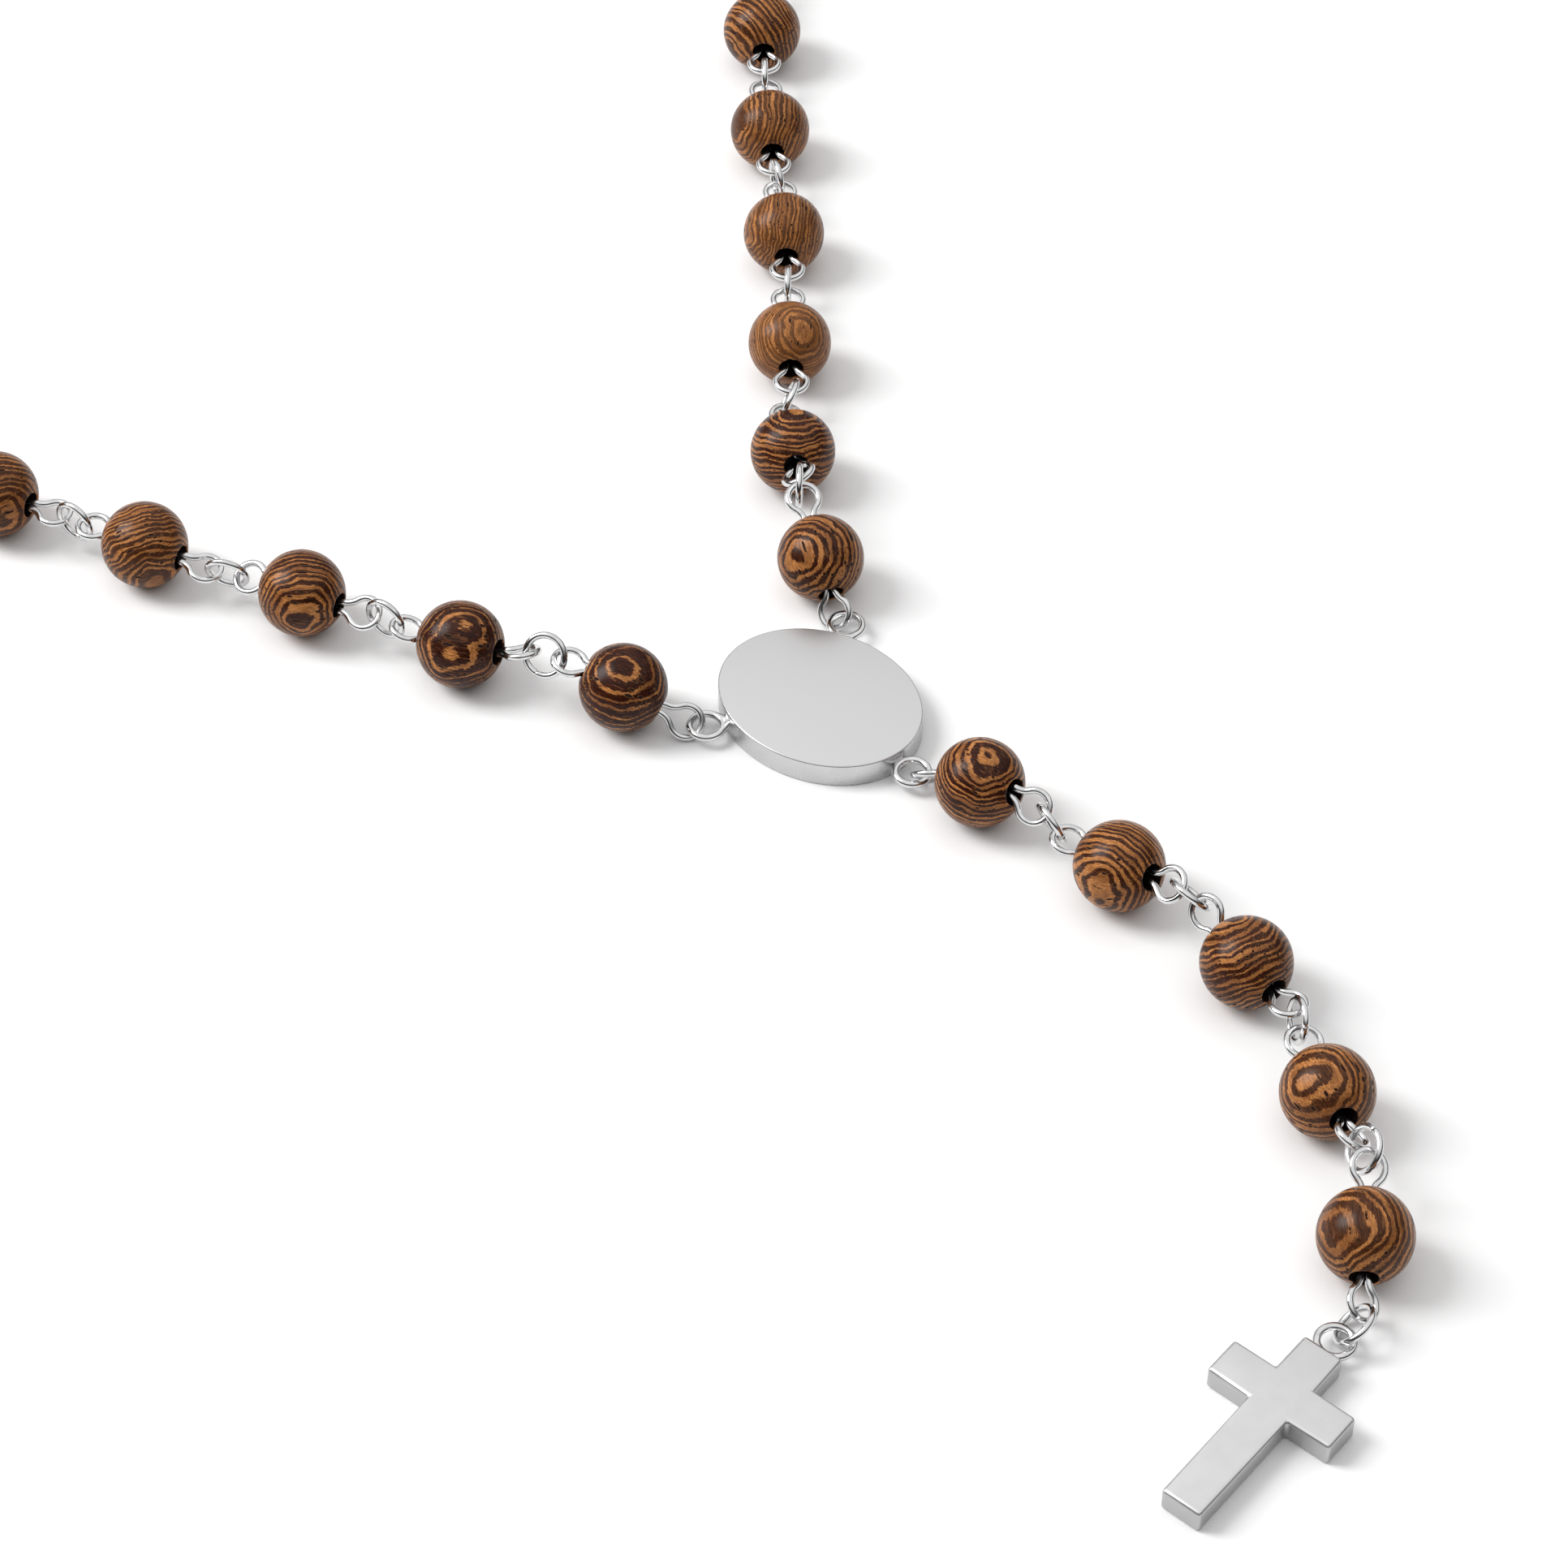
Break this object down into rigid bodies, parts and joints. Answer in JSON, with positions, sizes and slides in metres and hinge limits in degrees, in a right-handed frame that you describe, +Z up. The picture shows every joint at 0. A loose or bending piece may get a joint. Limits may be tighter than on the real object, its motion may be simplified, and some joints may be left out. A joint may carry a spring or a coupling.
{
  "type": "rosary",
  "caption": "Rosary of round wooden beads on wire eye pins, linked by jump rings into a closed loop, with an oval medal and a drop of beads ending in a plain cross.",
  "frame": {"origin": "middle of the oval medal's underside, on the surface the rosary lies on", "axes": "+Z up from the surface; the drop of beads leaves the medal towards -Y and the two arms of the loop towards +Y; +X to the right seen from above"},
  "size_m": [0.2469, 0.4229, 0.0083],
  "materials": {
    "bead_wood": "dark striped hardwood with open pores, satin polish",
    "strand_wood": "the same striped hardwood beads, on polished steel wire",
    "wire_steel": "polished stainless wire",
    "medal_steel": "finely brushed face, soft polished wall",
    "cross_steel": "satin"
  },
  "bodies": {
    "cross": {"cross": "cross_steel"},
    "drop_bead_1": {"drop_bead_1": "bead_wood"},
    "drop_bead_2": {"drop_bead_2": "bead_wood"},
    "drop_bead_3": {"drop_bead_3": "bead_wood"},
    "drop_bead_4": {"drop_bead_4": "bead_wood"},
    "drop_bead_5": {"drop_bead_5": "bead_wood"},
    "drop_pin_1": {"drop_pin_1": "wire_steel"},
    "drop_pin_2": {"drop_pin_2": "wire_steel"},
    "drop_pin_3": {"drop_pin_3": "wire_steel"},
    "drop_pin_4": {"drop_pin_4": "wire_steel"},
    "drop_pin_5": {"drop_pin_5": "wire_steel"},
    "drop_ring_1": {"drop_ring_1": "wire_steel"},
    "drop_ring_2": {"drop_ring_2": "wire_steel"},
    "drop_ring_3": {"drop_ring_3": "wire_steel"},
    "drop_ring_4": {"drop_ring_4": "wire_steel"},
    "drop_ring_5": {"drop_ring_5": "wire_steel"},
    "left_bead_1": {"left_bead_1": "bead_wood"},
    "left_bead_2": {"left_bead_2": "bead_wood"},
    "left_bead_3": {"left_bead_3": "bead_wood"},
    "left_bead_4": {"left_bead_4": "bead_wood"},
    "left_bead_5": {"left_bead_5": "bead_wood"},
    "left_pin_1": {"left_pin_1": "wire_steel"},
    "left_pin_2": {"left_pin_2": "wire_steel"},
    "left_pin_3": {"left_pin_3": "wire_steel"},
    "left_pin_4": {"left_pin_4": "wire_steel"},
    "left_pin_5": {"left_pin_5": "wire_steel"},
    "left_ring_1": {"left_ring_1": "wire_steel"},
    "left_ring_2": {"left_ring_2": "wire_steel"},
    "left_ring_3": {"left_ring_3": "wire_steel"},
    "left_ring_4": {"left_ring_4": "wire_steel"},
    "left_ring_5": {"left_ring_5": "wire_steel"},
    "left_strand_1": {"left_strand_1": "strand_wood"},
    "left_strand_2": {"left_strand_2": "strand_wood"},
    "left_strand_3": {"left_strand_3": "strand_wood"},
    "left_strand_4": {"left_strand_4": "strand_wood"},
    "left_strand_5": {"left_strand_5": "strand_wood"},
    "medal": {"medal": "medal_steel"},
    "right_bead_1": {"right_bead_1": "bead_wood"},
    "right_bead_2": {"right_bead_2": "bead_wood"},
    "right_bead_3": {"right_bead_3": "bead_wood"},
    "right_bead_4": {"right_bead_4": "bead_wood"},
    "right_bead_5": {"right_bead_5": "bead_wood"},
    "right_bead_6": {"right_bead_6": "bead_wood"},
    "right_pin_1": {"right_pin_1": "wire_steel"},
    "right_pin_2": {"right_pin_2": "wire_steel"},
    "right_pin_3": {"right_pin_3": "wire_steel"},
    "right_pin_4": {"right_pin_4": "wire_steel"},
    "right_pin_5": {"right_pin_5": "wire_steel"},
    "right_pin_6": {"right_pin_6": "wire_steel"},
    "right_ring_1": {"right_ring_1": "wire_steel"},
    "right_ring_2": {"right_ring_2": "wire_steel"},
    "right_ring_3": {"right_ring_3": "wire_steel"},
    "right_ring_4": {"right_ring_4": "wire_steel"},
    "right_ring_5": {"right_ring_5": "wire_steel"},
    "right_ring_6": {"right_ring_6": "wire_steel"},
    "right_strand_1": {"right_strand_1": "strand_wood"},
    "right_strand_2": {"right_strand_2": "strand_wood"},
    "right_strand_3": {"right_strand_3": "strand_wood"},
    "right_strand_4": {"right_strand_4": "strand_wood"},
    "right_strand_5": {"right_strand_5": "strand_wood"}
  },
  "joints": [
    {"name": "left_pin_1_swing", "type": "hinge", "parent": "medal", "child": "left_pin_1", "pos_m": [-0.00895, 0.00549, 0.00125], "axis": [0, 0, 1], "range_deg": [0, 50]},
    {"name": "left_bead_1_spin", "type": "hinge", "parent": "left_pin_1", "child": "left_bead_1", "pos_m": [-0.01269, 0.01222, 0.004], "axis": [-0.4209, 0.8261, 0.3746], "continuous": true},
    {"name": "left_ring_1_swing", "type": "hinge", "parent": "left_pin_1", "child": "left_ring_1", "pos_m": [-0.01563, 0.01799, 0.00596], "axis": [-0.8894, -0.4568, 0.0168], "range_deg": [-60, 34]},
    {"name": "left_pin_2_swing", "type": "hinge", "parent": "left_ring_1", "child": "left_pin_2", "pos_m": [-0.01684, 0.02046, 0.00574], "axis": [0.4954, 0.258, 0.8295], "range_deg": [0, 60]},
    {"name": "left_bead_2_spin", "type": "hinge", "parent": "left_pin_2", "child": "left_bead_2", "pos_m": [-0.01936, 0.02654, 0.004], "axis": [-0.3886, 0.9155, -0.1045], "continuous": true},
    {"name": "left_ring_2_swing", "type": "hinge", "parent": "left_pin_2", "child": "left_ring_2", "pos_m": [-0.02198, 0.03271, 0.00434], "axis": [0.8963, 0.4177, -0.1486], "range_deg": [-60, 60]},
    {"name": "left_pin_3_swing", "type": "hinge", "parent": "left_ring_2", "child": "left_pin_3", "pos_m": [-0.02249, 0.03534, 0.00384], "axis": [0.0278, -0.2344, -0.9717], "range_deg": [-60, 0]},
    {"name": "left_bead_3_spin", "type": "hinge", "parent": "left_pin_3", "child": "left_bead_3", "pos_m": [-0.02517, 0.04166, 0.004], "axis": [-0.3663, 0.9298, 0.0349], "continuous": true},
    {"name": "left_ring_3_swing", "type": "hinge", "parent": "left_pin_3", "child": "left_ring_3", "pos_m": [-0.02765, 0.04796, 0.00368], "axis": [-0.7995, -0.3846, -0.4614], "range_deg": [-60, 0]},
    {"name": "left_pin_4_swing", "type": "hinge", "parent": "left_ring_3", "child": "left_pin_4", "pos_m": [-0.02892, 0.05033, 0.00311], "axis": [-0.3717, 0.1479, 0.9165], "range_deg": [0, 60]},
    {"name": "left_bead_4_spin", "type": "hinge", "parent": "left_pin_4", "child": "left_bead_4", "pos_m": [-0.03127, 0.05678, 0.004], "axis": [-0.3579, 0.9323, 0.0523], "continuous": true},
    {"name": "left_ring_4_swing", "type": "hinge", "parent": "left_pin_4", "child": "left_ring_4", "pos_m": [-0.03371, 0.06312, 0.00419], "axis": [0.9336, 0.3584, 0], "range_deg": [-60, 60]},
    {"name": "left_pin_5_swing", "type": "hinge", "parent": "left_ring_4", "child": "left_pin_5", "pos_m": [-0.03416, 0.06567, 0.00387], "axis": [-0.0024, 0.0139, 0.9999], "range_deg": [0, 60]},
    {"name": "left_bead_5_spin", "type": "hinge", "parent": "left_pin_5", "child": "left_bead_5", "pos_m": [-0.03678, 0.07191, 0.004], "axis": [-0.36, 0.933, 0], "continuous": true},
    {"name": "left_ring_5_swing", "type": "hinge", "parent": "left_pin_5", "child": "left_ring_5", "pos_m": [-0.03923, 0.07825, 0.004], "axis": [-0.933, -0.36, 0], "range_deg": [-60, 60]},
    {"name": "left_strand_1_swing", "type": "hinge", "parent": "left_ring_5", "child": "left_strand_1", "pos_m": [-0.04046, 0.08075, 0.004], "axis": [0, 0, 1], "range_deg": [0, 60]},
    {"name": "left_strand_2_swing", "type": "hinge", "parent": "left_strand_1", "child": "left_strand_2", "pos_m": [-0.07027, 0.15387, 0.004], "axis": [0.9277, 0.3734, 0], "range_deg": [-60, 60]},
    {"name": "left_strand_3_swing", "type": "hinge", "parent": "left_strand_2", "child": "left_strand_3", "pos_m": [-0.08582, 0.21536, 0.004], "axis": [-0.998, 0.0639, 0], "range_deg": [-60, 60]},
    {"name": "left_strand_4_swing", "type": "hinge", "parent": "left_strand_3", "child": "left_strand_4", "pos_m": [-0.06895, 0.27632, 0.004], "axis": [0.8264, -0.5631, 0], "range_deg": [-60, 60]},
    {"name": "left_strand_5_swing", "type": "hinge", "parent": "left_strand_4", "child": "left_strand_5", "pos_m": [-0.02338, 0.32019, 0.004], "axis": [-0.4245, 0.9054, 0], "range_deg": [-60, 60]},
    {"name": "right_pin_1_swing", "type": "hinge", "parent": "medal", "child": "right_pin_1", "pos_m": [0.00895, 0.00549, 0.00125], "axis": [0, 0, 1], "range_deg": [-50, 0]},
    {"name": "right_bead_1_spin", "type": "hinge", "parent": "right_pin_1", "child": "right_bead_1", "pos_m": [0.0116, 0.01142, 0.004], "axis": [0.4627, 0.8179, 0.342], "continuous": true},
    {"name": "right_ring_1_swing", "type": "hinge", "parent": "right_pin_1", "child": "right_ring_1", "pos_m": [0.01517, 0.01774, 0.00657], "axis": [-0.8704, 0.4924, 0], "range_deg": [-60, 60]},
    {"name": "right_pin_2_swing", "type": "hinge", "parent": "right_ring_1", "child": "right_pin_2", "pos_m": [0.0168, 0.01929, 0.00607], "axis": [-0.0403, -0.0381, -0.9985], "range_deg": [0, 60]},
    {"name": "right_bead_2_spin", "type": "hinge", "parent": "right_pin_2", "child": "right_bead_2", "pos_m": [0.01997, 0.02338, 0.004], "axis": [0.5977, 0.7251, -0.342], "continuous": true},
    {"name": "right_ring_2_swing", "type": "hinge", "parent": "right_pin_2", "child": "right_ring_2", "pos_m": [0.02473, 0.02916, 0.00291], "axis": [0.7638, -0.6218, -0.1734], "range_deg": [-60, 60]},
    {"name": "right_pin_3_swing", "type": "hinge", "parent": "right_ring_2", "child": "right_pin_3", "pos_m": [0.02676, 0.02967, 0.00447], "axis": [-0.4361, -0.5949, 0.6753], "range_deg": [-60, 0]},
    {"name": "right_bead_3_spin", "type": "hinge", "parent": "right_pin_3", "child": "right_bead_3", "pos_m": [0.03067, 0.03446, 0.004], "axis": [0.6884, 0.7254, 0], "continuous": true},
    {"name": "right_ring_3_swing", "type": "hinge", "parent": "right_pin_3", "child": "right_ring_3", "pos_m": [0.03597, 0.04005, 0.004], "axis": [-0.7254, 0.6884, 0], "range_deg": [-60, 60]},
    {"name": "right_pin_4_swing", "type": "hinge", "parent": "right_ring_3", "child": "right_pin_4", "pos_m": [0.03795, 0.04192, 0.004], "axis": [0.1178, 0.1114, -0.9868], "range_deg": [0, 60]},
    {"name": "right_bead_4_spin", "type": "hinge", "parent": "right_pin_4", "child": "right_bead_4", "pos_m": [0.04185, 0.04646, 0.004], "axis": [0.6626, 0.749, 0], "continuous": true},
    {"name": "right_ring_4_swing", "type": "hinge", "parent": "right_pin_4", "child": "right_ring_4", "pos_m": [0.04695, 0.05222, 0.004], "axis": [0.749, -0.6626, 0], "range_deg": [-60, 60]},
    {"name": "right_pin_5_swing", "type": "hinge", "parent": "right_ring_4", "child": "right_pin_5", "pos_m": [0.04828, 0.05458, 0.004], "axis": [-0.068, -0.0858, 0.994], "range_deg": [-60, 0]},
    {"name": "right_bead_5_spin", "type": "hinge", "parent": "right_pin_5", "child": "right_bead_5", "pos_m": [0.05233, 0.05894, 0.004], "axis": [0.6561, 0.7547, 0], "continuous": true},
    {"name": "right_ring_5_swing", "type": "hinge", "parent": "right_pin_5", "child": "right_ring_5", "pos_m": [0.05738, 0.06475, 0.004], "axis": [-0.7547, 0.6561, 0], "range_deg": [-60, 60]},
    {"name": "right_pin_6_swing", "type": "hinge", "parent": "right_ring_5", "child": "right_pin_6", "pos_m": [0.0593, 0.06671, 0.004], "axis": [0.0755, 0.0774, -0.9941], "range_deg": [0, 60]},
    {"name": "right_bead_6_spin", "type": "hinge", "parent": "right_pin_6", "child": "right_bead_6", "pos_m": [0.0633, 0.07113, 0.004], "axis": [0.6758, 0.7371, 0], "continuous": true},
    {"name": "right_ring_6_swing", "type": "hinge", "parent": "right_pin_6", "child": "right_ring_6", "pos_m": [0.06851, 0.07681, 0.004], "axis": [0.7371, -0.6758, 0], "range_deg": [-60, 60]},
    {"name": "right_strand_1_swing", "type": "hinge", "parent": "right_ring_6", "child": "right_strand_1", "pos_m": [0.07021, 0.07839, 0.004], "axis": [-0.0792, -0.0736, 0.9941], "range_deg": [-60, 0]},
    {"name": "right_strand_2_swing", "type": "hinge", "parent": "right_strand_1", "child": "right_strand_2", "pos_m": [0.12388, 0.13572, 0.004], "axis": [0.7911, -0.6117, 0], "range_deg": [-60, 60]},
    {"name": "right_strand_3_swing", "type": "hinge", "parent": "right_strand_2", "child": "right_strand_3", "pos_m": [0.15364, 0.20841, 0.004], "axis": [-1, -0.0059, 0], "range_deg": [-60, 60]},
    {"name": "right_strand_4_swing", "type": "hinge", "parent": "right_strand_3", "child": "right_strand_4", "pos_m": [0.14033, 0.27025, 0.004], "axis": [0.8576, 0.5143, 0], "range_deg": [-60, 60]},
    {"name": "right_strand_5_swing", "type": "hinge", "parent": "right_strand_4", "child": "right_strand_5", "pos_m": [0.09738, 0.31668, 0.004], "axis": [-0.4763, -0.8793, 0], "range_deg": [-60, 60]},
    {"name": "drop_pin_1_swing", "type": "hinge", "parent": "medal", "child": "drop_pin_1", "pos_m": [0, -0.0115, 0.00125], "axis": [0, 0, 1], "range_deg": [-50, 50]},
    {"name": "drop_bead_1_spin", "type": "hinge", "parent": "drop_pin_1", "child": "drop_bead_1", "pos_m": [0.00144, -0.01825, 0.004], "axis": [0.1421, -0.9507, 0.2756], "continuous": true},
    {"name": "drop_ring_1_swing", "type": "hinge", "parent": "drop_pin_1", "child": "drop_ring_1", "pos_m": [0.00248, -0.02525, 0.00422], "axis": [0.7167, -0.0425, 0.6961], "range_deg": [-60, 60]},
    {"name": "drop_pin_2_swing", "type": "hinge", "parent": "drop_ring_1", "child": "drop_pin_2", "pos_m": [0.00265, -0.02717, 0.00238], "axis": [-0.4489, -0.6013, 0.661], "range_deg": [-25, 60]},
    {"name": "drop_bead_2_spin", "type": "hinge", "parent": "drop_pin_2", "child": "drop_bead_2", "pos_m": [0.00277, -0.03349, 0.004], "axis": [0.0246, -0.9394, 0.342], "continuous": true},
    {"name": "drop_ring_2_swing", "type": "hinge", "parent": "drop_pin_2", "child": "drop_ring_2", "pos_m": [0.00295, -0.04039, 0.00637], "axis": [-0.7188, -0.2319, -0.6554], "range_deg": [-60, 60]},
    {"name": "drop_pin_3_swing", "type": "hinge", "parent": "drop_ring_2", "child": "drop_pin_3", "pos_m": [0.00424, -0.04207, 0.00466], "axis": [0.4298, 0.8153, -0.3879], "range_deg": [-25, 60]},
    {"name": "drop_bead_3_spin", "type": "hinge", "parent": "drop_pin_3", "child": "drop_bead_3", "pos_m": [0.00225, -0.04838, 0.004], "axis": [-0.2164, -0.9763, 0], "continuous": true},
    {"name": "drop_ring_3_swing", "type": "hinge", "parent": "drop_pin_3", "child": "drop_ring_3", "pos_m": [0.00068, -0.05544, 0.00471], "axis": [0.9743, -0.2227, -0.0336], "range_deg": [-60, 60]},
    {"name": "drop_pin_4_swing", "type": "hinge", "parent": "drop_ring_3", "child": "drop_pin_4", "pos_m": [-0.00065, -0.05672, 0.00305], "axis": [0.1939, 0.5403, -0.8188], "range_deg": [-60, 60]},
    {"name": "drop_bead_4_spin", "type": "hinge", "parent": "drop_pin_4", "child": "drop_bead_4", "pos_m": [-0.00365, -0.06228, 0.004], "axis": [-0.4945, -0.8395, 0.2249], "continuous": true},
    {"name": "drop_ring_4_swing", "type": "hinge", "parent": "drop_pin_4", "child": "drop_ring_4", "pos_m": [-0.00728, -0.06844, 0.00545], "axis": [-0.6494, 0.4998, 0.573], "range_deg": [-60, 60]},
    {"name": "drop_pin_5_swing", "type": "hinge", "parent": "drop_ring_4", "child": "drop_pin_5", "pos_m": [-0.0075, -0.07058, 0.00681], "axis": [0.6806, 0.3416, 0.6482], "range_deg": [-30, 45]},
    {"name": "drop_bead_5_spin", "type": "hinge", "parent": "drop_pin_5", "child": "drop_bead_5", "pos_m": [-0.01276, -0.07394, 0.004], "axis": [-0.7658, -0.6192, -0.1736], "continuous": true},
    {"name": "drop_ring_5_swing", "type": "hinge", "parent": "drop_pin_5", "child": "drop_ring_5", "pos_m": [-0.01827, -0.0784, 0.00229], "axis": [0.6288, -0.4805, -0.6113], "range_deg": [-60, 50]},
    {"name": "cross_swing", "type": "hinge", "parent": "drop_ring_5", "child": "cross", "pos_m": [-0.0207, -0.0778, 0.0012], "axis": [0, 0, 1], "range_deg": [-50, 38]}
  ]
}
